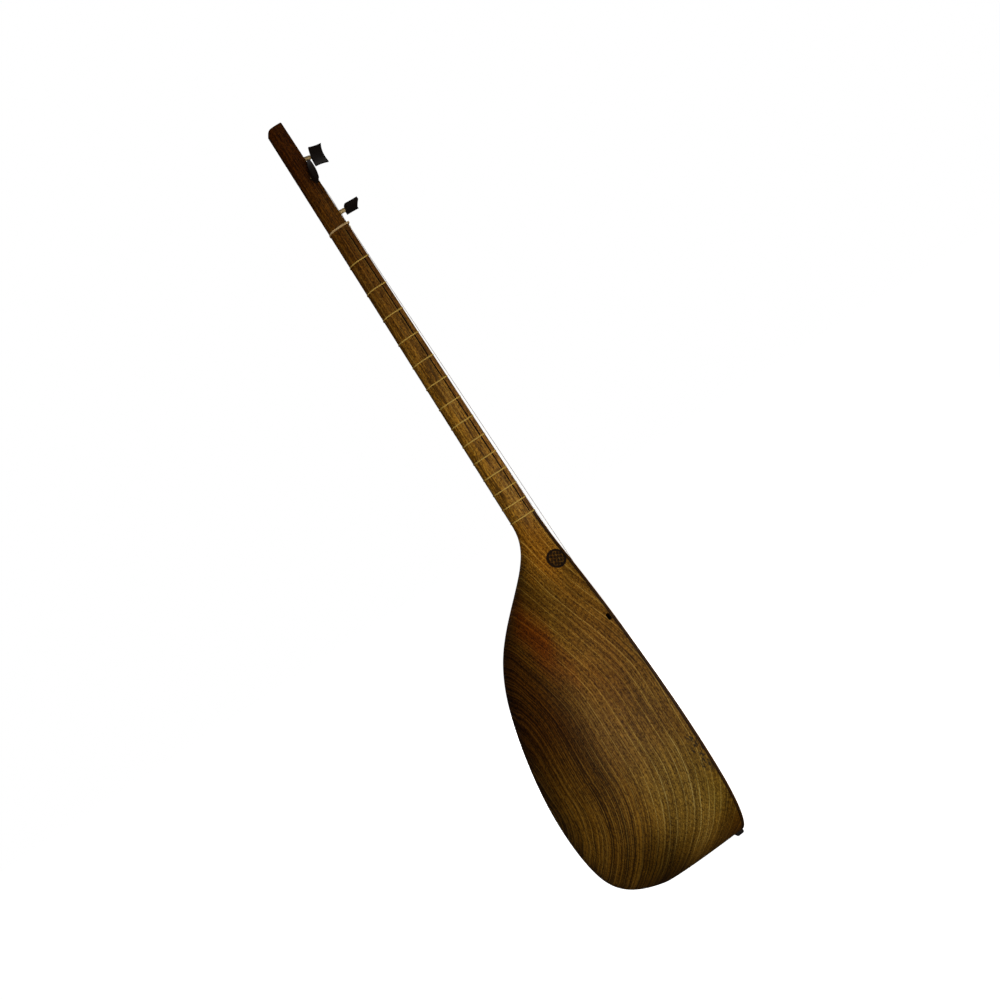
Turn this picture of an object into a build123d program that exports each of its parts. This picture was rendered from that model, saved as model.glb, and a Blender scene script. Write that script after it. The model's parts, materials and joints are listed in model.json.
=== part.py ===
from build123d import *
import math
import os

# A three-string long-necked lute (Kurdish tanbur). Millimetres.
# +Z runs up the neck, -Y is the way the soundboard faces, -X is the bass side.
# The origin is on the butt end of the bowl, in the middle of its depth.

# ---- lengths up the instrument, measured from the butt end
BRIDGE_Z = 117.0                # middle of the bridge
SCALE_LENGTH = 650.0            # nut to bridge, the sounding string
NUT_Z = BRIDGE_Z + SCALE_LENGTH
JOINT_Z = 408.0                 # neck meets bowl, just under the last fret
HEAD_TOP_Z = 900.0
TAPER_END_Z = NUT_Z + 8.0       # the neck stops tapering, the headstock begins
FRET_COUNT = 14                 # one tied fret for each semitone

# ---- depths from the playing plane, which the soundboard and fingerboard share
BUTT_MIDDLE = 46.0              # the playing plane lies this far in front of the origin
BOARD_THICK = 2.4               # soundboard
FINGERBOARD_THICK = 4.5
SEAM_THICK = 0.6                # black veneer round the rim
NECK_SEAM_THICK = 1.3           # the thicker one under the fingerboard
RIM_DEPTH = BOARD_THICK + SEAM_THICK
NECK_FACE = FINGERBOARD_THICK + NECK_SEAM_THICK

# ---- neck and headstock, half width and depth
NECK_LOW = (15.0, 26.6)         # at the joint with the bowl
NECK_HIGH = (13.0, 20.6)        # at the nut
HEAD_TOP = (12.4, 18.8)         # at the free end
NECK_ROUND = 2.6                # roundness of the back, 2 is an ellipse
HEAD_CORNER = 2.5               # rounding of the headstock's front edges
HEAD_REAR_RADIUS = 5.5          # rounding of the free end, at the back
HEAD_FRONT_RADIUS = 1.5
HEAD_REAR_OVER = 0.3            # that rounding starts just outside the wood

# ---- bowl, carved from one block: height, half width, depth at each station
BOWL_ROUND = 2.3
BOWL_STATIONS = (
    (0.0, 9.0, 93.0),
    (4.0, 23.0, 108.0),
    (10.0, 34.0, 122.0),
    (19.0, 45.0, 136.5),
    (32.0, 56.0, 148.0),
    (52.0, 67.0, 155.5),
    (80.0, 75.0, 159.3),
    (112.0, 78.7, 160.0),
    (146.0, 79.3, 157.6),
    (185.0, 76.0, 151.6),
    (225.0, 69.6, 142.3),
    (262.0, 61.5, 129.5),
    (295.0, 52.0, 110.5),
    (325.0, 41.2, 83.0),
    (350.0, 30.8, 56.2),
    (371.0, 22.0, 37.6),
    (388.0, 17.2, 29.2),
    (400.0, 15.2, 26.9),
    (JOINT_Z, *NECK_LOW),
)
HEEL_BLEND = 10.0               # the last of the heel has the neck's roundness
PLANING = 5.0                   # planed off the front
HOLLOW_SCALE = 0.94             # the hollow is the outside drawn smaller
HOLLOW_LIFT = 10.0              # thickness left at the butt
HOLLOW_TOP_Z = 362.0            # solid heel above this
TENON = (15.0, 13.0, 30.0)      # width, depth, length of the neck's hidden tenon
TENON_DEPTH = 12.5              # middle of the tenon behind the playing plane
GLUE_GAP = 0.05

# ---- holes in the body
SIDE_HOLE_Z = 273.7             # a long knot hole through the bass side, close to the rim
SIDE_HOLE_DEPTH = 5.8
SIDE_HOLE_R = 2.2
SIDE_HOLE_LONG = 3.2            # straight part between its round ends
ROSE_Z = 232.0                  # small drilled sound holes in the soundboard
ROSE_HOLE_R = 1.2
ROSE_RINGS = ((0.0, 1), (6.5, 6), (13.0, 12))

# ---- pegs: a waisted shaft and a blade with a hollowed end
PEG_HOLE_R = 3.0                # at the face, tapering to
PEG_TIP_R = 2.5                 # at the far side
PEG_PLAY = 0.05                 # running clearance in the hole
HOLE_PAST = 6.0                 # the holes are cut past both faces
PEG_WAIST_R = 2.0               # where the string winds on
PEG_GAP = 10.4                  # face of the wood to the blade
BLADE_WIDE = 21.6
BLADE_TALL = 14.8
BLADE_THICK = 6.8               # in its middle
BLADE_EDGE = 3.0                # and at its two sides
BLADE_HOLLOW = 2.3              # how far its outer end is hollowed
BLADE_WAIST = 0.7               # and its two sides
COLLAR = 1.0                    # cone from the shaft to the waist
COIL = (1.4, 8.4, 2.55)         # start, end and radius of the string's winding
UPPER_PEG_Z = 857.4
LOWER_PEG_Z = 788.4
SIDE_PEG_Z = 831.5
SIDE_PEG_DEPTH = 5.0            # axis of the side peg behind the playing plane

# ---- frets, nut, bridge, strings
FRET_WIDE = 1.4
FRET_THICK = 0.9
FRET_PLAY = 0.15                # a tied fret can be pushed along the neck
NUT_SIZE = (22.0, 1.7, 3.0)     # width, height, thickness
TIE_WIDE = 2.4
TIE_RISE = 1.6                  # the tie passes over the strings
TIE_PRESS = 1.1                 # and holds them this far off the wood
TIE_Z = NUT_Z + 4.6
BRIDGE_SIZE = (44.0, 8.4, 5.0)  # length, height, thickness at the foot
BRIDGE_TOP_THICK = 1.8
FOOT_HIGH = 2.2                 # edge of each foot
ARCH_HIGH = 2.6                 # opening between the feet
BRIDGE_LIFT = 0.05
STRING_LIFT = 0.2               # middle of a string above the top of the bridge
STRING_GAP = 0.3                # play of a string in its notch on the bridge
NOTCH_GAP = 0.16                # and on the nut
HOLDER_SIZE = (27.0, 9.6, 9.0)  # width, depth, height of the string holder
HOLDER_FRONT = -1.2
HOLDER_LOW = -3.8
PIN_R = 0.9
PIN_DEPTH = 5.2                 # hitch pins behind the playing plane
# name, diameter, x at the holder, at the bridge, at the nut
STRINGS = (
    ("treble_string_outer", 0.26, 9.0, 10.5, 7.2),
    ("treble_string_inner", 0.26, 5.0, 7.0, 4.6),
    ("bass_string", 0.46, -7.0, -9.0, -7.2),
)
BOX = 400.0                     # larger than any cross-section


def mix(a, b, t):
    """Size part of the way from a to b."""
    return a + (b - a) * t


def neck_size(z):
    """Half width and depth of the neck or headstock at height z."""
    if z <= TAPER_END_Z:
        t = (z - JOINT_Z) / (TAPER_END_Z - JOINT_Z)
        return mix(NECK_LOW[0], NECK_HIGH[0], t), mix(NECK_LOW[1], NECK_HIGH[1], t)
    t = (z - TAPER_END_Z) / (HEAD_TOP_Z - TAPER_END_Z)
    return mix(NECK_HIGH[0], HEAD_TOP[0], t), mix(NECK_HIGH[1], HEAD_TOP[1], t)


def half_round(half_width, depth, power, z, front=0.0, wall=0.0, steps=14):
    """Cross-section with a flat front at y = front and a rounded back; wall carries its sides forward."""
    deep = depth - front
    points = []
    for i in range(steps + 1):
        t = math.pi * i / steps
        c, s = math.cos(t), math.sin(t)
        x = -math.copysign(abs(c) ** (2 / power), c) * half_width
        points.append((x, front + s ** (2 / power) * deep, z))
    points[0] = (-half_width, front, z)
    points[-1] = (half_width, front, z)
    back = Spline(*points, tangents=[(0, 1, 0), (0, -1, 0)])
    if not wall:
        return Wire([back, Line(points[-1], points[0])])
    left, right = (-half_width, front - wall, z), (half_width, front - wall, z)
    return Wire([back, Line(points[-1], right), Line(right, left), Line(left, points[0])])


def skin(sections, ruled=False):
    """Solid through a row of closed cross-sections."""
    return Solid.make_loft(sections, ruled)


def slab(y_low, y_high, z_low=-50.0, z_high=1000.0):
    """Everything between two depths and two heights."""
    size = (BOX, y_high - y_low, z_high - z_low)
    middle = (0, (y_low + y_high) / 2, (z_low + z_high) / 2)
    return Location(middle) * Box(*size)


def rod(start, end, radius, end_radius=None):
    """Round bar or cone between two points."""
    line = Vector(*end) - Vector(*start)
    plane = Plane(origin=start, z_dir=line)
    if end_radius is None:
        bar = Cylinder(radius, line.length, align=(Align.CENTER, Align.CENTER, Align.MIN))
    else:
        bar = Cone(radius, end_radius, line.length, align=(Align.CENTER, Align.CENTER, Align.MIN))
    return plane.location * bar


# ---------------------------------------------------------------- pegs' places
class PegPlace:
    """Where a peg goes in, which way it points and how its blade is turned."""

    def __init__(self, name, foot, outward, turn, through):
        self.name = name
        self.foot = Vector(*foot)
        self.outward = Vector(*outward).normalized()
        self.turn = turn
        self.through = through
        blade = Vector(0, 0, 1)
        across = blade - self.outward * blade.dot(self.outward)
        plane = Plane(origin=self.foot, x_dir=across, z_dir=self.outward)
        self.location = plane.location * Rotation(0, 0, turn)

    def at(self, distance):
        """Point on the axis, outward from the face of the wood."""
        return self.foot + self.outward * distance


LEAN = math.radians(10.0)       # the top peg leans towards the bowl
PEGS = (
    PegPlace("upper_peg", (0, 0, UPPER_PEG_Z), (0, -math.cos(LEAN), -math.sin(LEAN)), 0.0, 18.6),
    PegPlace("lower_peg", (0, 0, LOWER_PEG_Z), (0, -1, 0), 81.0, 19.6),
    PegPlace("side_peg", (-neck_size(SIDE_PEG_Z)[0], SIDE_PEG_DEPTH, SIDE_PEG_Z), (-1, 0, 0), -6.0, 24.6),
)
COIL_MIDDLE = (COIL[0] + COIL[1]) / 2


def make_peg(place):
    """Tapered shaft, waist and blade, as one turned and cut piece."""
    shaft = rod((0, 0, -place.through), (0, 0, 0), PEG_TIP_R - PEG_PLAY, PEG_HOLE_R - PEG_PLAY)
    collar = rod((0, 0, 0), (0, 0, COLLAR), PEG_HOLE_R - PEG_PLAY, PEG_WAIST_R)
    waist = rod((0, 0, 0), (0, 0, PEG_GAP + 0.5), PEG_WAIST_R)
    half, low, high = BLADE_WIDE / 2, PEG_GAP, PEG_GAP + BLADE_TALL
    side, waisted = (low + high) / 2, half - BLADE_WAIST
    outline = Wire([
        ThreePointArc((-half, 0, low), (0, 0, low - BLADE_WAIST), (half, 0, low)),
        ThreePointArc((half, 0, low), (waisted, 0, side), (half, 0, high)),
        ThreePointArc((half, 0, high), (0, 0, high - BLADE_HOLLOW), (-half, 0, high)),
        ThreePointArc((-half, 0, high), (-waisted, 0, side), (-half, 0, low)),
    ])
    blade = extrude(Face(outline), amount=BLADE_THICK, dir=(0, 1, 0), both=True)
    edge, thick, past = BLADE_EDGE / 2, BLADE_THICK / 2, half + 0.5
    lens = Wire([
        ThreePointArc((-past, edge, 0), (0, thick, 0), (past, edge, 0)),
        Line((past, edge, 0), (past, -edge, 0)),
        ThreePointArc((past, -edge, 0), (0, -thick, 0), (-past, -edge, 0)),
        Line((-past, -edge, 0), (-past, edge, 0)),
    ])
    blade = blade & extrude(Face(lens), amount=high + BLADE_TALL, dir=(0, 0, 1))
    return place.location * (shaft + collar + waist + blade)


def make_coil(place):
    """The turns of string wound on the peg's waist."""
    tube = rod((0, 0, COIL[0]), (0, 0, COIL[1]), COIL[2])
    return place.location * (tube - rod((0, 0, 0), (0, 0, PEG_GAP), PEG_WAIST_R))


def peg_holes():
    """Tapered holes for the three pegs."""
    holes = []
    for p in PEGS:
        slope = (PEG_HOLE_R - PEG_TIP_R) / p.through
        start, end = p.at(-p.through - HOLE_PAST), p.at(HOLE_PAST)
        holes.append(rod(start, end, PEG_TIP_R - slope * HOLE_PAST, PEG_HOLE_R + slope * HOLE_PAST))
    return holes


# ---------------------------------------------------------------- body of the instrument
def make_body_block():
    """The bowl's outside with the soundboard still on it, planed flat at the front."""
    rough = skin([half_round(w, d, BOWL_ROUND if z < JOINT_Z - HEEL_BLEND else NECK_ROUND, z, wall=PLANING)
                  for z, w, d in BOWL_STATIONS])
    return rough & slab(0, BOX)


def make_hollow(block):
    """The space carved out of the bowl."""
    small = Pos(0, 0, HOLLOW_LIFT) * scale(block, HOLLOW_SCALE)
    return small & slab(-BOX / 2, BOX, -50.0, HOLLOW_TOP_Z)


def tenon(gap=0.0):
    """The neck's tenon, or its mortise with a glue gap."""
    wide, deep, long = TENON
    middle = (0, TENON_DEPTH, JOINT_Z - long / 2)
    return Location(middle) * Box(wide + 2 * gap, deep + 2 * gap, long + 2 * gap)


def make_neck():
    """Neck and headstock in one piece, with a tenon at its foot."""
    shape = skin([half_round(*neck_size(z), NECK_ROUND, z) for z in (JOINT_Z, TAPER_END_Z)], ruled=True)
    head = skin([half_round(*neck_size(z), NECK_ROUND, z) for z in (TAPER_END_Z, HEAD_TOP_Z)], ruled=True)
    long_front = head.edges().filter_by(lambda e: e.length > 60 and abs(e.center().Y) < 0.1)
    head = fillet(long_front, HEAD_CORNER)
    side = Plane.YZ * Face(side_outline())
    shape = shape - slab(-5, NECK_FACE, 0, NUT_Z - NUT_SIZE[2] / 2)
    shape = shape + (head & extrude(side, amount=BOX / 2, both=True))
    shape = shape + tenon()
    for hole in peg_holes():
        shape = shape - hole
    return shape


def side_outline():
    """Side view of the headstock, which rounds its free end."""
    low, high = TAPER_END_Z - 1, HEAD_TOP_Z
    back = HEAD_TOP[1] + HEAD_REAR_OVER
    past = back + 8
    rear, near = HEAD_REAR_RADIUS, HEAD_FRONT_RADIUS
    bend = 1 - math.sqrt(0.5)
    return Wire([
        Line((0, low), (past, low)),
        Line((past, low), (past, high - rear - 3)),
        Line((past, high - rear - 3), (back, high - rear)),
        ThreePointArc((back, high - rear), (back - rear * bend, high - rear * bend), (back - rear, high)),
        Line((back - rear, high), (near, high)),
        ThreePointArc((near, high), (near * bend, high - near * bend), (0, high - near)),
        Line((0, high - near), (0, low)),
    ])


def make_fingerboard(low, high):
    """The layer of the neck between two depths, from the joint to the nut."""
    bottom, top = JOINT_Z, NUT_Z - NUT_SIZE[2] / 2
    whole = skin([half_round(*neck_size(z), NECK_ROUND, z) for z in (JOINT_Z, TAPER_END_Z)], ruled=True)
    return whole & slab(low, high, bottom, top)


def make_sound_holes():
    """Rings of small holes drilled in the soundboard."""
    holes = []
    for radius, count in ROSE_RINGS:
        for i in range(count):
            turn = 2 * math.pi * i / count
            x, z = radius * math.sin(turn), ROSE_Z + radius * math.cos(turn)
            holes.append(rod((x, -1, z), (x, BOARD_THICK + 1, z), ROSE_HOLE_R))
    return holes


def make_side_hole():
    """A long round-ended hole straight out through the bass side."""
    outline = Rotation(0, 0, 90) * SlotCenterToCenter(SIDE_HOLE_LONG, SIDE_HOLE_R * 2)
    middle = Plane((0, SIDE_HOLE_DEPTH, SIDE_HOLE_Z), x_dir=(0, 1, 0), z_dir=(-1, 0, 0))
    return extrude(middle * outline, BOX)


# ---------------------------------------------------------------- frets and string fittings
def fret_height(number):
    """Equal semitones, measured down from the nut."""
    return NUT_Z - SCALE_LENGTH * (1 - 2 ** (-number / 12))


def band(z, wide, thick, play, rise=0.0):
    """A gut band tied round the neck; rise lifts it off the front."""
    low = z - wide / 2
    w, d = neck_size(low)
    rings = []
    for grow in (play, play + thick):
        outline = half_round(w + grow, d + grow, NECK_ROUND, low, -grow)
        ring = extrude(Face(outline), amount=wide, dir=(0, 0, 1))
        if rise:
            ring = ring + Location((0, -grow - rise / 2 + 0.1, z)) * Box(2 * (w + grow), rise + 0.2, wide)
        rings.append(ring)
    return rings[1] - rings[0]


def make_bridge():
    """Low wooden bridge: two feet, an arch, a top that carries the strings."""
    long, high, thick = BRIDGE_SIZE
    half = long / 2
    foot, arch, shoulder, top = -FOOT_HIGH, -ARCH_HIGH, -high + 1.2, -high
    right = [(half, 0), (half, foot), (half - 6, shoulder), (half - 9, top)]
    left = [(-x, y) for x, y in reversed(right)]
    under = [(-half + 8, 0), (-half + 12, arch), (half - 12, arch), (half - 8, 0)]
    face = make_face(Polyline(*right, *left, *under, close=True))
    shape = extrude(face, amount=thick / 2, both=True)
    crest = BRIDGE_TOP_THICK / 2
    wedge = Polyline((-high - 1, -crest), (0.5, -thick / 2), (0.5, thick / 2), (-high - 1, crest), close=True)
    shape = shape & extrude(Plane.YZ * make_face(wedge), amount=BOX / 2, both=True)
    for _, diameter, _, x, _ in STRINGS:
        axis = -high - STRING_LIFT
        shape = shape - rod((x, axis, -thick), (x, axis, thick), diameter / 2 + STRING_GAP)
    return Pos(0, -BRIDGE_LIFT, BRIDGE_Z) * shape


def make_nut():
    """Bone nut glued across the end of the fingerboard, notched for the strings."""
    wide, high, thick = NUT_SIZE
    shape = Location((0, -high / 2, NUT_Z)) * Box(wide, high, thick)
    shape = fillet(shape.edges().filter_by(Axis.X).group_by(Axis.Y)[0], 0.7)
    for _, diameter, _, _, x in STRINGS:
        shape = shape - rod((x, -high, NUT_Z - thick), (x, -high, NUT_Z + thick), diameter / 2 + NOTCH_GAP)
    return shape


def make_holder(block):
    """Black string holder, cut to fit the round butt."""
    wide, deep, tall = HOLDER_SIZE
    middle = (0, HOLDER_FRONT + deep / 2, HOLDER_LOW + tall / 2)
    shape = Location(middle) * Box(wide, deep, tall)
    shape = fillet(shape.edges().filter_by(Axis.X).group_by(Axis.Z)[0], 2.2)
    shape = fillet(shape.edges().filter_by(Axis.Y), 1.6)
    shape = shape - block
    for pin in hitch_pins():
        shape = shape - pin
    return max(shape.solids(), key=lambda s: s.volume)


def hitch_pins(top=9.0):
    """Three pins that the strings loop on."""
    return [rod((x, PIN_DEPTH, HOLDER_LOW - 1.4), (x, PIN_DEPTH, top), PIN_R) for _, _, x, _, _ in STRINGS]


def string_route(index):
    """Straight runs of a string from its hitch pin to its peg."""
    _, diameter, low_x, bridge_x, nut_x = STRINGS[index]
    r = diameter / 2
    peg = PEGS[index]
    reach = COIL[2] + r + 0.02
    coil = peg.at(COIL_MIDDLE)
    over_holder = HOLDER_FRONT - r - 0.05
    under = HOLDER_LOW - r - 0.1
    nut_y = -NUT_SIZE[1]
    route = [
        (low_x, PIN_DEPTH - PIN_R - r - 0.02, under),
        (low_x, over_holder, under),
        (low_x, over_holder, 3.0),
        (bridge_x, -BRIDGE_SIZE[1] - STRING_LIFT, BRIDGE_Z),
        (nut_x, nut_y, NUT_Z),
        (nut_x, -TIE_PRESS, TIE_Z + TIE_WIDE / 2),
    ]
    if peg.name == "side_peg":
        route += [(-12.4, -0.2, 806.0), (coil.X, coil.Y - reach, coil.Z)]
    else:
        route += [(reach, coil.Y, coil.Z)]
    return route


def make_string(index):
    """A string as a tube along its route, with the eye that hooks on its pin."""
    _, diameter, low_x, _, _ = STRINGS[index]
    r = diameter / 2
    route = string_route(index)
    radii = [1.6, 1.6] + [1.2] * (len(route) - 4)
    path = FilletPolyline(*route, radius=radii)
    start = Plane(origin=route[0], z_dir=Vector(*route[1]) - Vector(*route[0]))
    tube = sweep(start * Circle(r), path=path)
    eye = Pos(low_x, PIN_DEPTH, HOLDER_LOW - r - 0.1) * Torus(PIN_R + r + 0.02, r)
    return tube + eye


def main():
    """Make every piece and write it to its own STEP file."""
    os.makedirs("parts", exist_ok=True)
    block = make_body_block()
    hollow = make_hollow(block)
    pins = hitch_pins()
    side_hole = make_side_hole()

    bowl = (block & slab(RIM_DEPTH, BOX)) - hollow - side_hole - tenon(GLUE_GAP)
    soundboard = block & slab(0, BOARD_THICK)
    rim_seam = (block & slab(BOARD_THICK, RIM_DEPTH)) - hollow
    for hole in make_sound_holes():
        soundboard = soundboard - hole
    for pin in pins:
        bowl = bowl - pin

    pieces = {
        "bowl": bowl,
        "neck": make_neck(),
        "fingerboard": make_fingerboard(0, FINGERBOARD_THICK),
        "fingerboard_seam": make_fingerboard(FINGERBOARD_THICK, NECK_FACE),
        "soundboard": soundboard,
        "rim_seam": rim_seam,
        "nut": make_nut(),
        "nut_tie": band(TIE_Z, TIE_WIDE, 1.0, 0.02, TIE_RISE),
        "string_holder": make_holder(block),
        "hitch_pins": Compound(pins),
        "bridge": make_bridge(),
    }
    for index, spec in enumerate(STRINGS):
        pieces[spec[0]] = make_string(index)
    for place in PEGS:
        pieces[place.name] = make_peg(place)
        pieces[place.name + "_winding"] = make_coil(place)
    for number in range(1, FRET_COUNT + 1):
        pieces[f"fret_{number:02d}"] = band(fret_height(number), FRET_WIDE, FRET_THICK, FRET_PLAY)

    for name, piece in pieces.items():
        export_step(Pos(0, -BUTT_MIDDLE, 0) * piece, f"parts/{name}.step")
        print(name)


main()
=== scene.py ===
import json
import logging
import math
from dataclasses import dataclass
from enum import Enum
from typing import Any, Iterable, Sequence

import bmesh
import bpy
from mathutils import Matrix, Vector


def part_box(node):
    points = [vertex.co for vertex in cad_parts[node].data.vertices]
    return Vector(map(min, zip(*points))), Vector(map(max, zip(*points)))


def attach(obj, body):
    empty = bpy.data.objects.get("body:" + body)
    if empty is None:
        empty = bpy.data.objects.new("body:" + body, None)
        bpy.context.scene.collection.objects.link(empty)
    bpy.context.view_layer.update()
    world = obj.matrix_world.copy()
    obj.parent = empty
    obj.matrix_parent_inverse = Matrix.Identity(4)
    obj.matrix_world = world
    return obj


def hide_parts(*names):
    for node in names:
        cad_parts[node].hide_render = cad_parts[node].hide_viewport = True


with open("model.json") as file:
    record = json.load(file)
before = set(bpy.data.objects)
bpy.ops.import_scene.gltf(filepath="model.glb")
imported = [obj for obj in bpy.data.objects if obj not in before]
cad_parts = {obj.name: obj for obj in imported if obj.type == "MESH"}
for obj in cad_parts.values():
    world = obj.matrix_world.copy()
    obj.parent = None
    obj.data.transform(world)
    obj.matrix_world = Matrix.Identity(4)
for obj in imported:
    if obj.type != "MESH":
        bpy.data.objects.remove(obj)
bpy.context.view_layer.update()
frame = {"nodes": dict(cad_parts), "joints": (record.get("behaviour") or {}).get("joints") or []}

MM = 0.001
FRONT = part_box("soundboard")[0].y          # the playing plane of soundboard and fingerboard
BODY = "instrument"

log = logging.getLogger("lute")
Colour = tuple[float, float, float]
Point = tuple[float, float, float]


# ------------------------------------------------------------------ shader writing
class Value:
    """One number in a material. Maths on values adds the Math nodes."""

    def __init__(self, paint: "Paint", socket: Any) -> None:
        """Wrap a number socket, or a plain number, of a material."""
        self.paint = paint
        self.socket = socket

    def _math(self, operation: str, *others: Any, clamp: bool = False) -> "Value":
        """Add one Math node.

        Args:
            operation: the Math node's operation.
            others: the values or numbers that follow the first.
            clamp: keep the result between 0 and 1.

        Returns:
            The node's result.
        """
        inputs = {i: v for i, v in enumerate((self, *others))}
        node = self.paint.node("ShaderNodeMath", {"operation": operation, "use_clamp": clamp}, inputs)
        return Value(self.paint, node.outputs[0])

    def __add__(self, other: Any) -> "Value":
        """Sum."""
        return self._math("ADD", other)

    __radd__ = __add__

    def __sub__(self, other: Any) -> "Value":
        """Difference."""
        return self._math("SUBTRACT", other)

    def __rsub__(self, other: Any) -> "Value":
        """Difference from a number."""
        return Value(self.paint, other)._math("SUBTRACT", self)

    def __mul__(self, other: Any) -> "Value":
        """Product."""
        return self._math("MULTIPLY", other)

    __rmul__ = __mul__

    def __truediv__(self, other: Any) -> "Value":
        """Quotient."""
        return self._math("DIVIDE", other)

    def __pow__(self, other: Any) -> "Value":
        """Power."""
        return self._math("POWER", other)

    def __neg__(self) -> "Value":
        """Negative."""
        return self._math("MULTIPLY", -1.0)

    def clamp(self) -> "Value":
        """The value kept between 0 and 1."""
        return self._math("ADD", 0.0, clamp=True)

    def fraction(self) -> "Value":
        """The part after the decimal point."""
        return self._math("FRACT")

    def wave(self) -> "Value":
        """Sine."""
        return self._math("SINE")

    def size(self) -> "Value":
        """Absolute value."""
        return self._math("ABSOLUTE")

    def root(self) -> "Value":
        """Square root."""
        return self._math("SQRT")

    def greater(self, other: Any) -> "Value":
        """The larger of two."""
        return self._math("MAXIMUM", other)

    def ramp(self, low: float, high: float) -> "Value":
        """Smooth step from 0 at low to 1 at high; low may be the larger.

        Args:
            low: value that gives 0.
            high: value that gives 1.

        Returns:
            The smoothed step.
        """
        settings = {"interpolation_type": "SMOOTHSTEP"}
        inputs = {"Value": self, "From Min": low, "From Max": high, "To Min": 0.0, "To Max": 1.0}
        if low > high:
            inputs.update({"From Min": high, "From Max": low, "To Min": 1.0, "To Max": 0.0})
        return Value(self.paint, self.paint.node("ShaderNodeMapRange", settings, inputs).outputs["Result"])

    def bump_at(self, middle: float, reach: float) -> "Value":
        """A soft hill, 1 at middle and 0 beyond reach."""
        return (self - middle).size().ramp(reach, 0.0)


class Paint:
    """A material being written: its nodes, its surface shader and its places."""

    def __init__(self, name: str) -> None:
        """Start an empty material with one Principled shader."""
        self.material = bpy.data.materials.new(name)
        self.material.use_nodes = True
        self.tree = self.material.node_tree
        self.tree.nodes.clear()
        out = self.tree.nodes.new("ShaderNodeOutputMaterial")
        self.surface = self.tree.nodes.new("ShaderNodeBsdfPrincipled")
        self.tree.links.new(self.surface.outputs[0], out.inputs[0])
        self.place = self.node("ShaderNodeTexCoord", {}, {}).outputs["Object"]

    def node(self, kind: str, settings: dict[str, Any], inputs: dict[Any, Any]) -> bpy.types.Node:
        """Add a node.

        Args:
            kind: the node's type.
            settings: its own settings, set first; "stops" are a ramp's stops.
            inputs: values or links of its sockets, by name or number.

        Returns:
            The new node.
        """
        made = self.tree.nodes.new(kind)
        for name, value in settings.items():
            if name == "stops":
                self._stops(made.color_ramp, value)
            else:
                setattr(made, name, value)
        for name, value in inputs.items():
            self.feed(made.inputs[name], value)
        return made

    @staticmethod
    def _stops(ramp: Any, stops: Sequence[tuple[float, Colour]]) -> None:
        """Set a colour ramp's stops."""
        while len(ramp.elements) < len(stops):
            ramp.elements.new(0.5)
        for element, (at, colour) in zip(ramp.elements, stops):
            element.position = at
            element.color = (*colour, 1.0)

    def feed(self, socket: Any, value: Any) -> None:
        """Link a value to a socket, or set a plain number or colour on it."""
        value = value.socket if isinstance(value, Value) else value
        if isinstance(value, bpy.types.NodeSocket):
            self.tree.links.new(value, socket)
        elif isinstance(value, tuple) and len(value) == 3 and socket.type == "RGBA":
            socket.default_value = (*value, 1.0)
        else:
            socket.default_value = value

    def set(self, **inputs: Any) -> None:
        """Set the surface shader's sockets; an underscore stands for a space."""
        for name, value in inputs.items():
            self.feed(self.surface.inputs[name.replace("_", " ")], value)

    def axes(self) -> tuple[Value, Value, Value]:
        """The place on the object in millimetres, with y from the playing plane."""
        parts = self.node("ShaderNodeSeparateXYZ", {}, {0: self.place}).outputs
        x, y, z = (Value(self, p) for p in parts)
        return x * 1000.0, (y - FRONT) * 1000.0, z * 1000.0

    def vector(self, x: Any, y: Any, z: Any) -> Any:
        """A vector socket from three values."""
        return self.node("ShaderNodeCombineXYZ", {}, {0: x, 1: y, 2: z}).outputs[0]

    def noise(self, at: Any, scale: float, detail: float = 2.0, rough: float = 0.5,
              twist: float = 0.0) -> Value:
        """Smooth noise between 0 and 1.

        Args:
            at: the place, a vector socket.
            scale: how fine it is.
            detail: how many finer layers it has.
            rough: how strong those layers are.
            twist: how much it is distorted.

        Returns:
            The noise.
        """
        inputs = {"Vector": at, "Scale": scale, "Detail": detail, "Roughness": rough, "Distortion": twist}
        return Value(self, self.node("ShaderNodeTexNoise", {}, inputs).outputs["Fac"])

    def edges(self, at: Value) -> Value:
        """Distance to the nearest border of unevenly wide bands along one value."""
        settings = {"voronoi_dimensions": "1D", "feature": "DISTANCE_TO_EDGE"}
        node = self.node("ShaderNodeTexVoronoi", settings, {"W": at, "Scale": 1.0})
        return Value(self, node.outputs["Distance"])

    def blend(self, factor: Any, first: Any, second: Any, kind: str = "MIX") -> Any:
        """Mix two colours.

        Args:
            factor: share of the second.
            first: a colour or socket.
            second: a colour or socket.
            kind: how they are mixed.

        Returns:
            The colour socket.
        """
        settings = {"data_type": "RGBA", "blend_type": kind, "clamp_factor": True}
        node = self.node("ShaderNodeMix", settings, {})
        colours = [s for s in node.inputs if s.type == "RGBA"]
        self.feed(node.inputs[0], factor)
        self.feed(colours[0], first)
        self.feed(colours[1], second)
        return next(s for s in node.outputs if s.type == "RGBA")

    def ramp(self, factor: Value, stops: Sequence[tuple[float, Colour]]) -> Any:
        """A colour from a value by a row of stops."""
        return self.node("ShaderNodeValToRGB", {"stops": stops}, {0: factor}).outputs["Color"]

    def relief(self, height: Value, distance: float, strength: float = 1.0) -> None:
        """Feed a bump of the height, in metres at full height, to the surface's normal."""
        inputs = {"Strength": strength, "Distance": distance, "Height": height}
        node = self.node("ShaderNodeBump", {}, inputs)
        self.feed(self.surface.inputs["Normal"], node.outputs[0])


# ------------------------------------------------------------------ finishes
class Timber(Enum):
    """Which piece of walnut is being finished."""

    BOWL = "bowl"
    NECK = "neck"
    FINGERBOARD = "fingerboard"


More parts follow.
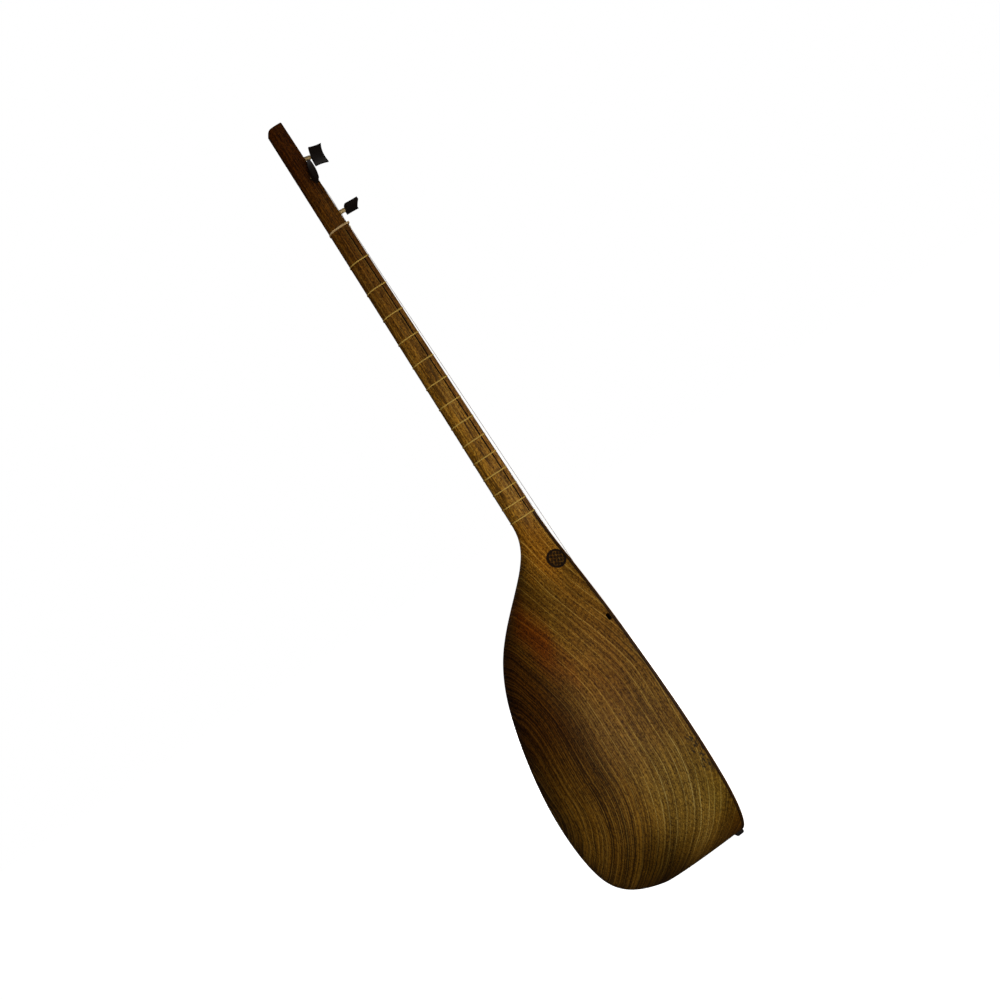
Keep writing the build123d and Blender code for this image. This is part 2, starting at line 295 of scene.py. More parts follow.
@dataclass(frozen=True)
class Hill:
    """A soft-edged area of the bowl's side, tinted; some are the wood's own tone, some painted shade, some
    partly painted light.
    """

    depth: float                # its middle, in millimetres behind the playing plane
    height: float
    half_depth: float
    half_height: float
    tint: Colour
    strength: float
    kind: str = "MULTIPLY"


@dataclass(frozen=True)
class Walnut:
    """Oiled walnut with its growth rings, pores and streaks.

    The tree's heart lay in front of the soundboard, so on the bowl's flank the rings bulge
    forward in the middle, run back towards the neck and the butt, and crowd at the back.
    """

    timber: Timber
    heart: float = 145.0            # how far in front of the playing plane the tree's heart lay
    slant: float = 0.0              # how far the rings move for each millimetre across
    butt_sweep: float = 36.0        # how far they sweep back at the butt
    waist_sweep: float = 5.5        # a little more below the widest place
    neck_sweep: float = 15.0        # and towards the neck
    crowded_from: float = 215.0     # beyond this ring they lie closer together
    light: Colour = (0.325, 0.155, 0.014)
    body: Colour = (0.155, 0.068, 0.005)
    dark: Colour = (0.030, 0.011, 0.0006)
    line: Colour = (0.410, 0.240, 0.042)
    line_gap: float = 8.0           # usual distance between two pale lines
    back_stain_and_shade: Colour = (0.30, 0.19, 0.10)     # these three multiply the wood's colour: darker stain together with painted shade, over the back and up towards the head
    neck_stain_and_shade: Colour = (0.46, 0.36, 0.28)
    head_stain_and_shade: Colour = (0.54, 0.38, 0.22)
    fleck: Colour = (0.012, 0.009, 0.006)
    rim: Colour = (0.020, 0.008, 0.002)
    burnt: Colour = (0.007, 0.004, 0.003)
    mark_place: tuple[float, float] = (12.2, 351.4)   # depth and height of the burnt mark
    mark_radius: float = 10.0
    hills: tuple[Hill, ...] = (
        Hill(78.0, 296.0, 18.0, 66.0, (0.95, 0.42, 0.06), 0.85),
        # partly painted light: brighter high by the front, besides the wood's own tone
        Hill(22.0, 372.0, 30.0, 50.0, (1.85, 1.55, 1.20), 0.90),
        Hill(66.0, 345.0, 20.0, 46.0, (0.52, 0.42, 0.30), 0.80),
        # painted shade: two dark areas low at the back of the butt
        Hill(112.0, 40.0, 26.0, 40.0, (0.62, 0.60, 0.50), 0.70),
        Hill(92.0, 30.0, 40.0, 52.0, (0.50, 0.52, 0.50), 0.90),
        Hill(10.0, 60.0, 24.0, 60.0, (0.86, 0.95, 0.90), 0.80),
        # partly a painted sheen: lighter and greyer low on the flank, besides the wood's olive tone
        Hill(46.0, 84.0, 46.0, 70.0, (1.22, 1.48, 2.40), 0.90),
        # painted shade: the dark front corner of the butt
        Hill(2.0, 14.0, 30.0, 40.0, (0.72, 0.55, 0.25), 0.90),
        Hill(24.0, 265.0, 34.0, 80.0, (1.12, 0.98, 0.95), 0.80),
        Hill(44.0, 200.0, 26.0, 60.0, (0.90, 0.82, 0.35), 0.70),
        Hill(60.0, 236.0, 22.0, 60.0, (1.30, 1.15, 1.00), 0.60),
    )

    def rings(self, paint: Paint, x: Value, y: Value, z: Value) -> Value:
        """Distance from the tree's heart in millimetres, gently wavy."""
        slow = paint.vector(x / 70.0, y / 70.0, z / 230.0)
        fine = paint.vector(x / 14.0, y / 14.0, z / 110.0)
        deep = y + self.heart
        butt = ((139.0 - z) / 120.0).greater(0.0)
        sweep = butt * butt * self.butt_sweep + z.ramp(229.0, 139.0) * self.waist_sweep
        sweep = sweep + z.ramp(215.0, 345.0) * self.neck_sweep
        reach = (x * x + deep * deep).root() + x * self.slant - sweep
        wander = (paint.noise(slow, 1.0, 1.0) - 0.5) * 8.0 + (paint.noise(fine, 1.0, 1.0) - 0.5) * 2.2
        reach = reach + wander
        crowd = (reach - self.crowded_from).greater(0.0)
        return reach + crowd * crowd / 110.0

    def colour(self, paint: Paint, x: Value, y: Value, z: Value) -> tuple[Any, Value, Value]:
        """The wood's colour, its pores and its figure.

        Args:
            paint: the material being written.
            x: across the instrument.
            y: behind the playing plane.
            z: up the instrument.

        Returns:
            The colour socket, the pores (1 in a pore) and the fibre's tone.
        """
        reach = self.rings(paint, x, y, z)
        along = z / 420.0
        bands = paint.noise(paint.vector(reach / 13.0, along, 0.3), 1.0, 2.0, 0.6) - 0.5
        stripes = paint.noise(paint.vector(reach / 3.0, along * 2.0, 2.7), 1.0, 2.0, 0.7) - 0.5
        hair = paint.noise(paint.vector(reach / 0.9, along * 6.0, 5.1), 1.0, 1.0, 0.6) - 0.5
        fade = paint.noise(paint.vector(reach / 9.0, z / 60.0, 1.9), 1.0, 1.0)
        fibre = paint.noise(paint.vector(x * 0.75, y * 0.75, z * 0.055), 1.0, 3.0, 0.7) - 0.5
        speck = paint.noise(paint.vector(x * 0.6, y * 0.6, z * 0.40), 1.0, 3.0, 0.8) - 0.5
        pores = paint.noise(paint.vector(x * 1.4, y * 1.4, z * 0.26), 1.0, 1.0).ramp(0.57, 0.66)
        back = y.ramp(60.0, 120.0)
        pale = paint.edges(reach / self.line_gap + along * 0.2).ramp(0.056, 0.022)
        faint = paint.edges(reach / (self.line_gap * 0.36) + along * 0.5 + 7.0).ramp(0.11, 0.03)
        inky = paint.edges(reach / (self.line_gap * 0.52) + along * 0.3 + 31.0).ramp(0.12, 0.04)

        tone = 0.46 + bands * 0.60 + stripes * (0.70 + back * 2.0) + hair * 0.80
        tone = tone + fibre * 1.35 + speck * 2.1
        colour = paint.ramp(tone.clamp(), [(0.0, self.dark), (0.48, self.body), (1.0, self.light)])
        inks = (inky * (0.16 + fade.ramp(0.60, 0.35) * 0.40 + back * 0.70)).clamp()
        colour = paint.blend(inks, colour, self.dark)
        colour = paint.blend((faint * (0.06 + fade.ramp(0.45, 0.62) * 0.34)).clamp(), colour, self.line)
        colour = paint.blend((pale * (0.40 + fade.ramp(0.38, 0.60) * 0.50)).clamp(), colour, self.line)
        colour = paint.blend(pores * 0.75, colour, self.dark)
        return colour, pores, tone

    def darken_back_with_stain_and_shade(self, paint: Paint, colour: Any, y: Value, z: Value) -> Any:
        """Darker stain with painted shade over the back, and painted shade low on the butt."""
        # partly the back's darker stain, partly painted shade on the far side of the bowl
        deep = y.ramp(58.0, 112.0) * (z.ramp(110.0, 220.0) * 0.60 + 0.35)
        # painted shade: darker towards the bottom of the butt
        low = z.ramp(34.0, 4.0) * 0.45
        return paint.blend((deep + low).clamp(), colour, self.back_stain_and_shade, "MULTIPLY")

    def bowl_marks(self, paint: Paint, colour: Any, x: Value, y: Value, z: Value) -> Any:
        """Tinted areas, among them painted shade and painted light, flecks by the rim and the round burnt
        mark on the bowl.
        """
        blur = (paint.noise(paint.vector(x / 16.0, y / 16.0, z / 50.0), 1.0, 2.0) - 0.5) * 0.9
        for hill in self.hills:
            deep, high = (y - hill.depth) / hill.half_depth, (z - hill.height) / hill.half_height
            far = deep ** 2.0 + high ** 2.0
            area = (far.root() + blur).ramp(1.25, 0.1) * hill.strength
            colour = paint.blend(area, colour, hill.tint, hill.kind)
        grain = paint.noise(paint.vector(x / 3.0, y / 2.6, z / 6.0), 1.0, 3.0, 0.7)
        near = y.bump_at(8.0, 13.0) * z.bump_at(112.0, 40.0) * x.ramp(0.0, -20.0)
        flecks = (grain.ramp(0.49, 0.56) * near.ramp(0.15, 0.60)).clamp()
        colour = paint.blend(flecks * 0.85, colour, self.fleck)
        colour = paint.blend(y.ramp(4.6, 3.0) * 0.75, colour, self.rim)

        across, up = y - self.mark_place[0], z - self.mark_place[1]
        reach = (across * across + up * up).root() / self.mark_radius
        side = x.ramp(0.0, -5.0)
        ring = (reach - 0.89).size().ramp(0.16, 0.10)
        lattice = ((across * 0.85 + up * 0.5).wave() * (up * 0.75 - across * 0.4).wave()).size()
        smoke = paint.noise(paint.vector(x * 0.4, y * 0.4, z * 0.4), 1.0, 2.0).ramp(0.35, 0.65)
        fill = reach.ramp(0.90, 0.84) * (0.60 + lattice.ramp(0.12, 0.40) * 0.32 + smoke * 0.08)
        burnt = (ring.greater(fill) * side).clamp()
        return paint.blend(burnt * 0.97, colour, self.burnt)

    def make(self) -> bpy.types.Material:
        """Write the material."""
        paint = Paint("walnut_" + self.timber.value)
        x, y, z = paint.axes()
        colour, pores, tone = self.colour(paint, x, y, z)
        if self.timber is Timber.BOWL:
            colour = self.bowl_marks(paint, self.darken_back_with_stain_and_shade(paint, colour, y, z), x, y, z)
        else:
            # darker up the neck and darkest at the head: partly the neck's stain, partly painted shade
            # where the light falls off
            colour = paint.blend(z.ramp(500.0, 800.0), colour, self.neck_stain_and_shade, "MULTIPLY")
            colour = paint.blend(z.ramp(780.0, 850.0), colour, self.head_stain_and_shade, "MULTIPLY")
            streak = paint.noise(paint.vector(x / 4.0, y / 4.0, z / 60.0), 1.0, 2.0, 0.6)
            colour = paint.blend(streak.ramp(0.52, 0.62) * z.ramp(700.0, 560.0) * 0.75, colour, self.dark)
            # painted highlight: a thin pale line just behind the seam, below the head, where the seam's
            # edge catches the light
            colour = paint.blend(y.bump_at(6.3, 0.6) * z.ramp(772.0, 764.0) * 0.35, colour, self.line)
        paint.set(Base_Color=colour, Roughness=0.50 + pores * 0.2 - (tone - 0.5) * 0.12)
        paint.surface.inputs["Specular IOR Level"].default_value = 0.07
        paint.relief(1.0 - pores, 0.00012, 0.6)
        return paint.material


@dataclass(frozen=True)
class Plain:
    """A finish with a base colour, a little mottling and fine relief."""

    name: str
    colour: Colour
    second: Colour
    rough: float
    grain: Point = (1.0, 1.0, 1.0)      # marks per millimetre along each axis
    metal: float = 0.0
    depth: float = 0.00005
    gloss: float = 0.5                  # strength of the mirrored light

    def make(self) -> bpy.types.Material:
        """Write the material."""
        paint = Paint(self.name)
        x, y, z = paint.axes()
        gx, gy, gz = self.grain
        mottle = paint.noise(paint.vector(x * gx, y * gy, z * gz), 1.0, 3.0, 0.6)
        paint.set(Base_Color=paint.blend(mottle.ramp(0.3, 0.7), self.colour, self.second),
                  Roughness=self.rough + (mottle - 0.5) * 0.2)
        paint.surface.inputs["Metallic"].default_value = self.metal
        paint.surface.inputs["Specular IOR Level"].default_value = self.gloss
        paint.relief(mottle, self.depth, 0.5)
        return paint.material


@dataclass(frozen=True)
class Mulberry:
    """The soundboard's straight-grained mulberry, darker and worn where it is played."""

    light: Colour = (0.56, 0.31, 0.090)
    dark: Colour = (0.20, 0.085, 0.020)
    worn: Colour = (0.20, 0.10, 0.04)           # where the fingers play
    seam: Colour = (0.030, 0.009, 0.001)        # along its edge

    def make(self) -> bpy.types.Material:
        """Write the material."""
        paint = Paint("mulberry")
        x, y, z = paint.axes()
        wander = (paint.noise(paint.vector(x / 30.0, y / 30.0, z / 160.0), 1.0, 2.0) - 0.5) * 5.0
        lines = ((x + wander) / 3.1).fraction()
        line = lines.ramp(0.45, 0.92) * lines.ramp(1.0, 0.94)
        fibre = paint.noise(paint.vector(x * 1.8, y * 1.8, z * 0.05), 1.0, 3.0, 0.7)
        broad = paint.noise(paint.vector(x / 7.0, y / 7.0, z / 300.0), 1.0, 2.0, 0.6)
        cloud = paint.noise(paint.vector(x / 40.0, y / 40.0, z / 120.0), 1.0, 2.0)
        tone = 0.72 - line * 0.55 + (fibre - 0.5) * 1.2 + (cloud - 0.5) * 0.5
        tone = (tone + (broad - 0.5) * 0.9).clamp()
        colour = paint.blend(tone, self.dark, self.light)
        played = ((x / 30.0) ** 2.0 + ((z - 150.0) / 45.0) ** 2.0).ramp(1.3, 0.2)
        colour = paint.blend(played * 0.35, colour, self.worn)
        edge = y.ramp(0.10, 0.5)
        colour = paint.blend(edge * 0.97, colour, self.seam)
        paint.set(Base_Color=colour, Roughness=0.48 + fibre * 0.15)
        paint.surface.inputs["Specular IOR Level"].default_value = 0.10
        paint.relief(fibre, 0.00006, 0.5)
        return paint.material


@dataclass(frozen=True)
class Wire:
    """Drawn or wound wire; wound wire shows its close turns."""

    name: str
    colour: Colour
    rough: float = 0.28
    turns: float = 0.0              # turns per millimetre up the instrument
    metal: float = 1.0

    def make(self) -> bpy.types.Material:
        """Write the material."""
        paint = Paint(self.name)
        x, y, z = paint.axes()
        tarnish = paint.noise(paint.vector(x * 0.8, y * 0.8, z * 0.1), 1.0, 3.0)
        dull = tuple(c * 0.55 for c in self.colour)
        paint.set(Base_Color=paint.blend(tarnish.ramp(0.35, 0.75), self.colour, dull),
                  Roughness=self.rough + tarnish * 0.2)
        paint.surface.inputs["Metallic"].default_value = self.metal
        if self.turns:
            paint.relief((z * (self.turns * 2 * math.pi)).wave(), 0.00008, 0.8)
        return paint.material


class Finishes:
    """Every finish of the instrument, made once."""

    def __init__(self) -> None:
        """Make the materials."""
        self.bowl = Walnut(Timber.BOWL).make()
        self.neck = Walnut(Timber.NECK, butt_sweep=0.0, neck_sweep=0.0, crowded_from=900.0,
                           light=(0.62, 0.28, 0.024), body=(0.240, 0.100, 0.008),
                           dark=(0.045, 0.015, 0.001), line_gap=6.0).make()
        self.fingerboard = Walnut(Timber.FINGERBOARD, slant=0.7, butt_sweep=0.0, neck_sweep=0.0,
                                  crowded_from=900.0, light=(0.52, 0.22, 0.030), body=(0.220, 0.088, 0.012),
                                  dark=(0.060, 0.020, 0.002), line_gap=5.0).make()
        self.veneer = Plain("black_veneer", (0.004, 0.002, 0.001), (0.012, 0.005, 0.002), 0.6,
                            gloss=0.02).make()
        self.soundboard = Mulberry().make()
        self.gut = Plain("gut", (0.72, 0.48, 0.10), (0.56, 0.33, 0.06), 0.45, (3.0, 3.0, 3.0),
                         gloss=0.2).make()
        self.pale_gut = Plain("pale_gut", (0.72, 0.50, 0.23), (0.58, 0.37, 0.15), 0.45, (3.0, 3.0, 3.0),
                              gloss=0.2).make()
        self.bone = Plain("bone", (0.80, 0.72, 0.55), (0.66, 0.55, 0.36), 0.30, (2.0, 2.0, 2.0)).make()
        self.ebony = Plain("ebony", (0.007, 0.005, 0.004), (0.018, 0.012, 0.009), 0.42, (2.0, 2.0, 0.4),
                           gloss=0.12).make()
        self.horn = Plain("horn", (0.006, 0.005, 0.004), (0.020, 0.016, 0.012), 0.28, (0.6, 0.6, 0.6),
                          gloss=0.15).make()
        self.bridge = Plain("bridge_wood", (0.22, 0.11, 0.045), (0.12, 0.055, 0.022), 0.5,
                            (0.3, 2.0, 2.0)).make()
        self.brass = Wire("brass_wire", (0.80, 0.58, 0.28)).make()
        self.steel = Wire("steel_wire", (0.62, 0.62, 0.60), 0.22).make()
        self.bronze = Wire("bronze_wire", (0.90, 0.66, 0.30), 0.35, metal=0.45).make()
        self.wound = Wire("wound_bronze", (0.80, 0.52, 0.22), 0.28, 3.5).make()


# ------------------------------------------------------------------ mesh helpers
def add_object(name: str, mesh: bpy.types.Mesh, finish: bpy.types.Material,
               smooth: bool = True) -> bpy.types.Object:
    """Put a mesh in the scene.

    Args:
        name: the piece's name.
        mesh: its mesh, in the frame's metres.
        finish: its material.
        smooth: shade it smooth.

    Returns:
        The new object.
    """
    for polygon in mesh.polygons:
        polygon.use_smooth = smooth
    mesh.materials.append(finish)
    made = bpy.data.objects.new(name, mesh)
    bpy.context.scene.collection.objects.link(made)
    return made


def tube_along(path: Sequence[Vector], radius: float, sides: int = 10,
               closed: bool = False) -> bmesh.types.BMesh:
    """A round tube along a line of points.

    Args:
        path: the points, in metres.
        radius: the tube's radius.
        sides: how many sides it has.
        closed: join its ends.

    Returns:
        The tube, capped where it is open.
    """
    bm = bmesh.new()
    count = len(path)
    rings: list[list[bmesh.types.BMVert]] = []
    side = Vector((0.0, 0.0, 1.0))
    for i, point in enumerate(path):
        after = path[(i + 1) % count] if closed or i + 1 < count else point
        before = path[i - 1] if closed or i else point
        along = (after - before).normalized()
        side = (side - along * side.dot(along))
        side = side.normalized() if side.length > 1e-6 else along.orthogonal().normalized()
        other = along.cross(side)
        rings.append([
            bm.verts.new(point + (side * math.cos(a) + other * math.sin(a)) * radius)
            for a in (2 * math.pi * k / sides for k in range(sides))
        ])
    for i in range(count if closed else count - 1):
        here, there = rings[i], rings[(i + 1) % count]
        for k in range(sides):
            n = (k + 1) % sides
            bm.faces.new((here[k], here[n], there[n], there[k]))
    if not closed:
        bm.faces.new(tuple(reversed(rings[0])))
        bm.faces.new(tuple(rings[-1]))
    return bm


def joined(parts: Iterable[bmesh.types.BMesh], name: str) -> bpy.types.Mesh:
    """Several meshes as one.

    Args:
        parts: the meshes, which are used up.
        name: the new mesh's name.

    Returns:
        One mesh of them all.
    """
    whole = bmesh.new()
    for part in parts:
        piece = bpy.data.meshes.new("part")
        part.to_mesh(piece)
        part.free()
        whole.from_mesh(piece)
        bpy.data.meshes.remove(piece)
    mesh = bpy.data.meshes.new(name)
    bmesh.ops.recalc_face_normals(whole, faces=whole.faces)
    whole.to_mesh(mesh)
    whole.free()
    return mesh


def dress(node: str, finish: bpy.types.Material) -> None:
    """Give a CAD node its finish."""
    slots = frame["nodes"][node].material_slots
    if not slots:
        frame["nodes"][node].data.materials.append(finish)
    for each in frame["nodes"][node].material_slots:
        each.link = "OBJECT"
        each.material = finish
    log.info("dressed %s in %s", node, finish.name)


# ------------------------------------------------------------------ sub-assemblies
@dataclass
class Neck:
    """Neck, headstock, fingerboard and seams, which keep their CAD shape."""

    finishes: Finishes
    round_power: float = 2.6

    def size_at(self, z: float) -> tuple[float, float]:
        """Half width and depth of the neck at a height, both in metres.

        Args:
            z: the height in metres.

        Returns:
            Half width and depth.
        """
        low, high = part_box("fret_14"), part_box("fret_01")
        share = (z - low[0].z) / (high[0].z - low[0].z)
        band = 1.05 * MM            # how far the plain band stands out from the wood
        wide = [(b[1].x - b[0].x) / 2 - band for b in (low, high)]
        deep = [b[1].y - FRONT - band for b in (low, high)]
        return wide[0] + (wide[1] - wide[0]) * share, deep[0] + (deep[1] - deep[0]) * share

    def outline(self, z: float, grow: float, steps: int = 40) -> list[Vector]:
        """The neck's cross-section at a height, grown outwards.

        Args:
            z: the height in metres.
            grow: how far outside the wood it runs.
            steps: points round the back.

        Returns:
            Points round the section, from the bass side of the front.
        """
        wide, deep = self.size_at(z)
        wide, deep = wide + grow, deep + grow
        points = []
        for i in range(steps + 1):
            turn = math.pi * i / steps
            c, s = math.cos(turn), max(math.sin(turn), 0.0)
            x = -math.copysign(abs(c) ** (2 / self.round_power), c) * wide
            points.append(Vector((x, FRONT + s ** (2 / self.round_power) * deep, z)))
        front = FRONT - grow
        corner = 0.7 * MM
        chamfer = corner * 0.3
        points += [Vector((wide - chamfer, front + chamfer, z)), Vector((wide - corner, front, z))]
        points += [Vector((wide * t, front, z)) for t in (0.6, 0.2, -0.2, -0.6)]
        points += [Vector((-wide + corner, front, z)), Vector((-wide + chamfer, front + chamfer, z))]
        return points

    def build(self) -> None:
        """Dress the nodes."""
        dress("neck", self.finishes.neck)
        dress("fingerboard", self.finishes.fingerboard)
        dress("fingerboard_seam", self.finishes.veneer)
        dress("nut", self.finishes.bone)


@dataclass
class Bowl:
    """Bowl and soundboard, which keep their CAD shape."""

    finishes: Finishes

    def build(self) -> None:
        """Dress the nodes."""
        dress("bowl", self.finishes.bowl)
        dress("soundboard", self.finishes.soundboard)
        dress("rim_seam", self.finishes.veneer)
        dress("bridge", self.finishes.bridge)


@dataclass
class Frets:
    """Tied gut frets: turns of gut round the neck, each with a knot on the bass side."""

    finishes: Finishes
    neck: Neck
    turns: int = 3
    gut_radius: float = 0.21 * MM
    play: float = 0.18 * MM         # between the neck and the gut
    tie_turns: int = 4
    tie_radius: float = 0.25 * MM
    count: int = 14

    def band(self, z: float, turns: int, radius: float, rise: float = 0.0) -> list[bmesh.types.BMesh]:
        """Side-by-side turns of gut round the neck.

        Args:
            z: middle height in metres.
            turns: how many turns.
            radius: the gut's radius.
            rise: how far the front of each turn stands off, over the strings.

        Returns:
            The turns' meshes.
        """
        made = []
        for i in range(turns):
            height = z + (i - (turns - 1) / 2) * radius * 2.02
            ring = self.neck.outline(height, radius + self.play)
            ring = [Vector((p.x, p.y - (rise if p.y < FRONT + 0.2 * MM else 0.0), p.z)) for p in ring]
            made.append(tube_along(ring, radius, 8, closed=True))
        return made

    def knot(self, z: float, radius: float) -> list[bmesh.types.BMesh]:
        """A small knot and its two cut tails, on the bass side by the fingerboard.

        Args:
            z: height in metres.
            radius: the gut's radius.

        Returns:
            The knot's meshes.
        """
        wide, _ = self.neck.size_at(z)
        middle = Vector((-wide - radius * 2.2, FRONT + 3.2 * MM, z))
        loop, steps = [], 26
        for i in range(steps):
            turn = 2 * math.pi * i / steps
            loop.append(middle + Vector((math.cos(turn * 2) * 0.25 * radius - radius * 0.4 * math.sin(turn),
                                         math.sin(turn) * radius * 2.4, math.cos(turn) * radius * 2.0)))
        tails = []
        for way in (-1.0, 1.0):
            tails.append([middle, middle + Vector((-radius * 0.8, way * 0.9 * MM, 0.5 * MM)),
                          middle + Vector((-radius * 1.2, way * 1.9 * MM, 1.3 * MM))])
        knot = tube_along(loop, radius * 1.05, 8, closed=True)
        return [knot] + [tube_along(tail, radius * 0.9, 8) for tail in tails]

    def build(self) -> None:
        """Make the frets and the nut's tie, and ride them on their bodies."""
        for number in range(1, self.count + 1):
            node = f"fret_{number:02d}"
            low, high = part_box(node)
            z = (low.z + high.z) / 2
            parts = self.band(z, self.turns, self.gut_radius) + self.knot(z, self.gut_radius)
            made = add_object(node + "_gut", joined(parts, node + "_gut"), self.finishes.gut)
            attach(made, node)
            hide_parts(node)
            log.info("tied %s at %.1f mm", node, z / MM)
        low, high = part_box("nut_tie")
        z = (low.z + high.z) / 2
        rise = FRONT - low.y - self.tie_radius * 2 - 0.2 * MM
        parts = self.band(z, self.tie_turns, self.tie_radius, rise) + self.knot(z, self.tie_radius)
        made = add_object("nut_tie_gut", joined(parts, "nut_tie_gut"), self.finishes.pale_gut)
        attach(made, BODY)
        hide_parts("nut_tie")
        log.info("tied the nut's tie")


@dataclass
class Pegs:
    """Three friction pegs and the string wound on each."""

    finishes: Finishes
    names: tuple[str, ...] = ("upper_peg", "lower_peg", "side_peg")
    wire: float = 0.24 * MM
    waist: float = 2.0 * MM
    turns: int = 14
    steps: int = 20                 # points in one turn of wire
    pitch: float = 2.05             # from turn to turn, in radii of the wire

    def axis_of(self, name: str) -> tuple[Vector, Vector]:
        """A point on the peg's axis at its winding's middle, and the way it points outward."""
        joint = next(j for j in frame["joints"] if j["child"] == name)
        way = Vector(joint["axis"]).normalized()
        low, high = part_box(name + "_winding")
        return (Vector(low) + Vector(high)) / 2, way

    def winding(self, name: str) -> None:
        """Turns of wire on the peg's waist.

        Args:
            name: the peg's body and node name.
        """
        middle, way = self.axis_of(name)
        side = way.orthogonal().normalized()
        other = way.cross(side)
        reach = self.waist + self.wire
        path = []
        for i in range(self.turns * self.steps + 1):
            turn = 2 * math.pi * i / self.steps
            along = (i / self.steps - self.turns / 2) * self.wire * self.pitch
            path.append(middle + way * along + (side * math.cos(turn) + other * math.sin(turn)) * reach)
        mesh = joined([tube_along(path, self.wire, 8)], name + "_turns")
        made = add_object(name + "_turns", mesh, self.finishes.bronze)
        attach(made, name)
        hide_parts(name + "_winding")
        log.info("wound the string on %s", name)

    def build(self) -> None:
        """Dress the pegs and wind the strings."""
        for name in self.names:
            dress(name, self.finishes.ebony)
            self.winding(name)


@dataclass
class Strings:
    """Strings, string holder and hitch pins."""

    finishes: Finishes

    def build(self) -> None:
        """Dress the nodes."""
        dress("treble_string_outer", self.finishes.steel)
        dress("treble_string_inner", self.finishes.steel)
        dress("bass_string", self.finishes.wound)
        dress("string_holder", self.finishes.horn)
        dress("hitch_pins", self.finishes.brass)


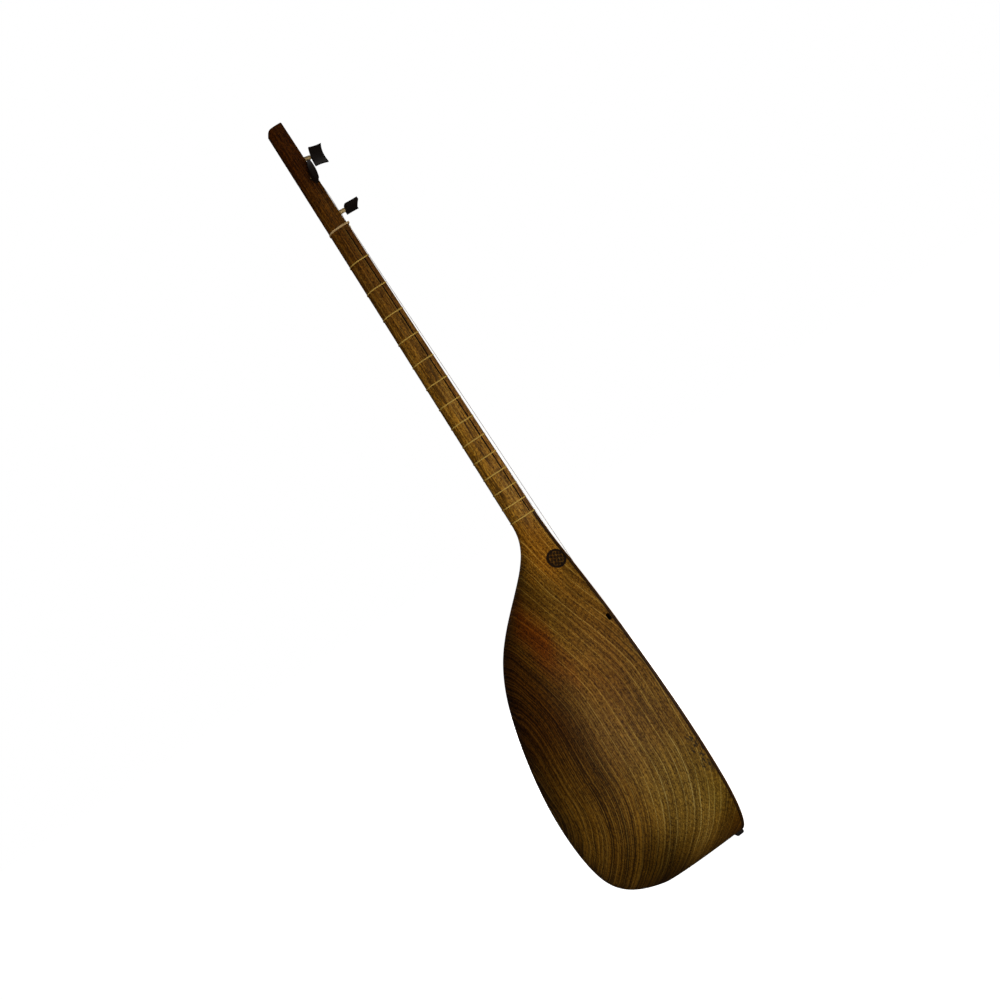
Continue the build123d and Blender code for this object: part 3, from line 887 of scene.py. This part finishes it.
# ------------------------------------------------------------------ studio
@dataclass
class Studio:
    """Camera, pale floor and soft light."""

    turn: float = 12.0              # degrees towards the back from the bass side
    roll: float = 33.07             # lean of the instrument in the picture
    distance: float = 1.2953
    lens: float = 43.49
    aim: Point = (0.0, FRONT + 0.0225, 0.435)
    floor_z: float = -0.0062
    floor_radius: float = 14.0
    floor_glow: float = 0.96        # keeps the wide floor as pale as the room
    lamps: tuple[tuple[Point, float, float, Point], ...] = (     # place, size, power, what it faces
        ((-1.35, 0.10, 0.10), 0.7, 18.0, (0.0, 0.02, 0.16)),
        ((1.0, -1.3, 0.9), 1.0, 16.0, (0.0, 0.0, 0.40)),
        ((1.5, 0.2, 0.7), 1.0, 10.0, (0.0, 0.03, 0.30)),
    )
    room: float = 0.06              # light from the room itself
    room_gloss: float = 0.02        # and how brightly it mirrors

    def camera(self) -> None:
        """Place the camera by the side of the bowl."""
        turn = math.radians(self.turn)
        away = Vector((-math.cos(turn), math.sin(turn), 0.0))
        right = (-away).cross(Vector((0, 0, 1))).normalized()
        up = Vector((0, 0, 1))
        roll = math.radians(self.roll)
        across = right * math.cos(roll) - up * math.sin(roll)
        upward = right * math.sin(roll) + up * math.cos(roll)
        data = bpy.data.cameras.new("camera")
        data.lens = self.lens
        data.sensor_width = 36.0
        data.clip_start, data.clip_end = 0.05, 50.0
        made = bpy.data.objects.new("camera", data)
        bpy.context.scene.collection.objects.link(made)
        basis = Matrix((across, upward, away)).transposed().to_4x4()
        made.matrix_world = Matrix.Translation(Vector(self.aim) + away * self.distance) @ basis
        bpy.context.scene.camera = made

    def floor(self) -> None:
        """A pale floor under the butt end."""
        bm = bmesh.new()
        bmesh.ops.create_circle(bm, cap_ends=True, radius=self.floor_radius, segments=96)
        mesh = bpy.data.meshes.new("floor")
        bm.to_mesh(mesh)
        bm.free()
        paint = Paint("pale_floor")
        x, y, z = paint.axes()
        speck = paint.noise(paint.vector(x * 0.02, y * 0.02, 0.0), 1.0, 2.0)
        paint.set(Base_Color=paint.blend(speck, (0.86, 0.86, 0.86), (0.89, 0.89, 0.89)), Roughness=0.9,
                  Emission_Color=(1.0, 1.0, 1.0))
        paint.surface.inputs["Emission Strength"].default_value = self.floor_glow
        made = add_object("floor", mesh, paint.material, smooth=False)
        made.location.z = self.floor_z
        made.visible_diffuse = False
        made.visible_glossy = False

    def lights(self) -> None:
        """Soft boxes round the instrument."""
        for i, (place, size, power, target) in enumerate(self.lamps):
            data = bpy.data.lights.new(f"soft_box_{i}", "AREA")
            data.shape = "SQUARE"
            data.size = size
            data.energy = power
            made = bpy.data.objects.new(f"soft_box_{i}", data)
            made.location = place
            made.visible_glossy = i == 0
            made.rotation_mode = "QUATERNION"
            made.rotation_quaternion = (Vector(target) - Vector(place)).to_track_quat("-Z", "Y")
            bpy.context.scene.collection.objects.link(made)

    @staticmethod
    def background(tree: bpy.types.NodeTree, strength: float) -> bpy.types.Node:
        """A white background shader of a given strength."""
        made = tree.nodes.new("ShaderNodeBackground")
        made.inputs["Color"].default_value = (1.0, 1.0, 1.0, 1.0)
        made.inputs["Strength"].default_value = strength
        return made

    def room_light(self) -> None:
        """A pale room that only the camera sees brightly."""
        world = bpy.data.worlds.new("room")
        bpy.context.scene.world = world
        world.use_nodes = True
        tree = world.node_tree
        tree.nodes.clear()
        out = tree.nodes.new("ShaderNodeOutputWorld")
        pick = tree.nodes.new("ShaderNodeMixShader")
        sheen = tree.nodes.new("ShaderNodeMixShader")
        path = tree.nodes.new("ShaderNodeLightPath")
        faint = self.background(tree, self.room_gloss)
        dim = self.background(tree, self.room)
        bright = self.background(tree, 1.0)
        tree.links.new(path.outputs["Is Camera Ray"], pick.inputs[0])
        tree.links.new(path.outputs["Is Glossy Ray"], sheen.inputs[0])
        tree.links.new(dim.outputs[0], sheen.inputs[1])
        tree.links.new(faint.outputs[0], sheen.inputs[2])
        tree.links.new(sheen.outputs[0], pick.inputs[1])
        tree.links.new(bright.outputs[0], pick.inputs[2])
        tree.links.new(pick.outputs[0], out.inputs[0])

    def build(self) -> None:
        """Set up the studio."""
        self.camera()
        self.floor()
        self.lights()
        self.room_light()
        bpy.context.scene.view_settings.view_transform = "Standard"
        log.info("studio ready")


def main() -> None:
    """Build every sub-assembly in order."""
    logging.basicConfig(level=logging.INFO, format="%(name)s: %(message)s")
    finishes = Finishes()
    Studio().build()
    neck = Neck(finishes)
    for part in (neck, Bowl(finishes), Frets(finishes, neck), Pegs(finishes), Strings(finishes)):
        part.build()
        log.info("built %s", type(part).__name__)


if __name__ == "__main__":
    main()
